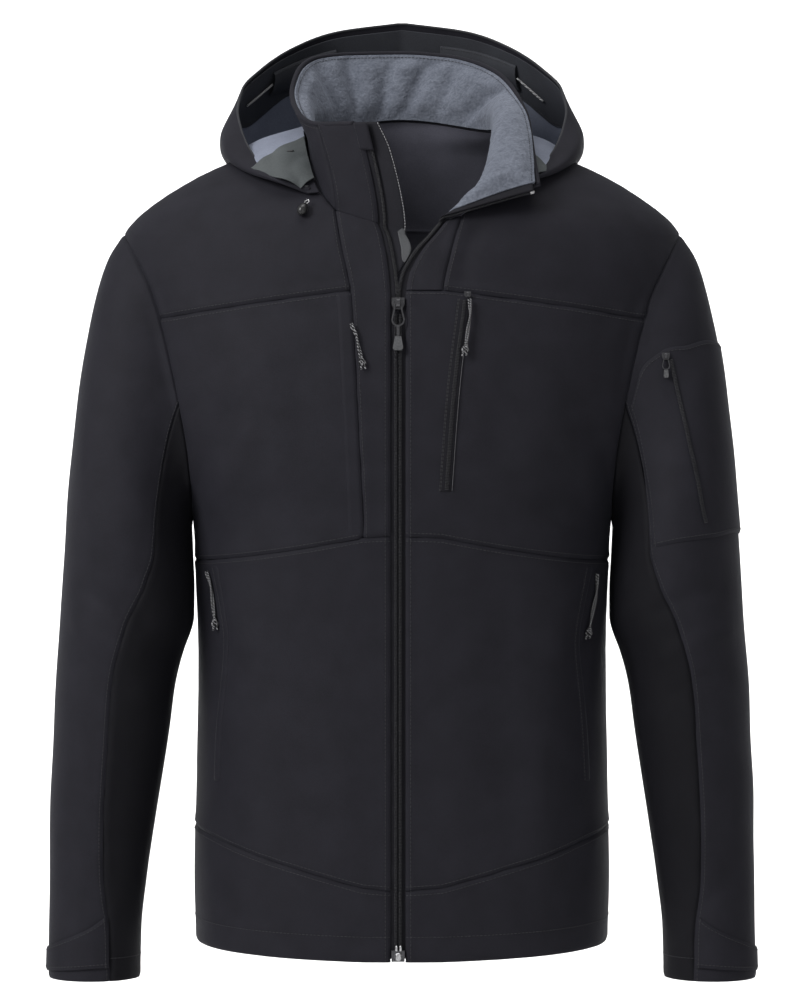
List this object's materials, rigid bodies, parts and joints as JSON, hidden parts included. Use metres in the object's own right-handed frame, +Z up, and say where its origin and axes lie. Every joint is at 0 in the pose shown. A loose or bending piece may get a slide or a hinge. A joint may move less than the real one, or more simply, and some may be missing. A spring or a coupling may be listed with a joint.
{
  "type": "softshell jacket",
  "caption": "Filled-out hooded softshell jacket with a fleece-lined stand collar folded open, a centre zip, slanted hand pockets, chest pockets, a sleeve pocket and cuff tabs.",
  "frame": {"origin": "middle of the neck's base, level with the upper ends of the shoulder seams, where a neck and shoulders carry the jacket", "axes": "+Z up, -Y out of the front, +X towards the jacket's own left sleeve"},
  "size_m": [0.6312, 0.3339, 0.8697],
  "materials": {
    "softshell": "matt, fine flat weave",
    "inner_cloth": "matt, bonded jersey back",
    "grey_fleece": "short brushed nap",
    "grey_lining": "matt, fine knit",
    "black_plastic": "moulded, matt",
    "gunmetal": "dark plated, worn at the edges",
    "cord": "braided"
  },
  "bodies": {
    "jacket": {"sleeve_outer_right": "softshell", "sleeve_outer_left": "softshell", "sleeve_under_right": "inner_cloth", "sleeve_under_left": "inner_cloth", "collar_outer": "softshell", "collar_fleece": "grey_fleece", "hem_band_front_right": "softshell", "hem_band_front_left": "softshell", "lower_front_right": "softshell", "lower_front_left": "softshell", "yoke_front_right": "softshell", "yoke_front_left": "softshell", "chest_right": "softshell", "chest_left": "softshell", "centre_strip_right": "softshell", "hem_band_back": "softshell", "back_panel": "softshell", "back_yoke": "softshell", "hood_side_right": "softshell", "hood_side_left": "softshell", "hood_centre": "softshell", "hood_patch_right": "grey_lining", "hood_patch_left": "grey_lining", "hood_lining": "grey_lining", "hood_facing": "softshell", "zip_tape_right": "inner_cloth", "zip_tape_left": "inner_cloth", "zip_teeth_open_right": "black_plastic", "zip_teeth_open_left": "black_plastic", "zip_teeth_closed": "black_plastic", "wind_flap": "inner_cloth", "chin_guard": "softshell", "chest_zip_left": "black_plastic", "chest_welt_right": "softshell", "hand_pocket_right": "softshell", "hand_pocket_left": "softshell", "cuff_tab_right": "softshell", "cuff_tab_left": "softshell", "sleeve_pocket": "softshell", "sleeve_pocket_zip": "black_plastic", "zip_slider": "gunmetal", "zip_box": "gunmetal", "sleeve_zip_slider": "gunmetal", "cord_pull_chest_left": "cord", "cord_pull_chest_right": "cord", "cord_pull_hand_right": "cord", "cord_pull_hand_left": "cord", "cord_knot_chest_left": "cord", "cord_knot_chest_right": "cord", "cord_knot_hand_right": "cord", "cord_knot_hand_left": "cord", "pocket_slider_chest_left": "gunmetal", "hood_toggle": "black_plastic", "hood_cord_right": "cord", "hood_cord_left": "cord"},
    "zip_pull": {"zip_pull_bail": "gunmetal", "zip_pull_grip": "black_plastic"},
    "sleeve_zip_pull": {"sleeve_pull_bail": "gunmetal", "sleeve_pull_grip": "black_plastic"}
  },
  "joints": [
    {"name": "zip_pull_hinge", "type": "hinge", "parent": "jacket", "child": "zip_pull", "pos_m": [-0.00351, -0.1256, -0.16261], "axis": [-1, 0.0029, -0.0006], "range_deg": [0, 160]},
    {"name": "sleeve_pull_hinge", "type": "hinge", "parent": "jacket", "child": "sleeve_zip_pull", "pos_m": [0.23149, -0.08085, -0.20652], "axis": [-0.9999, 0.0132, 0], "range_deg": [0, 160]}
  ]
}
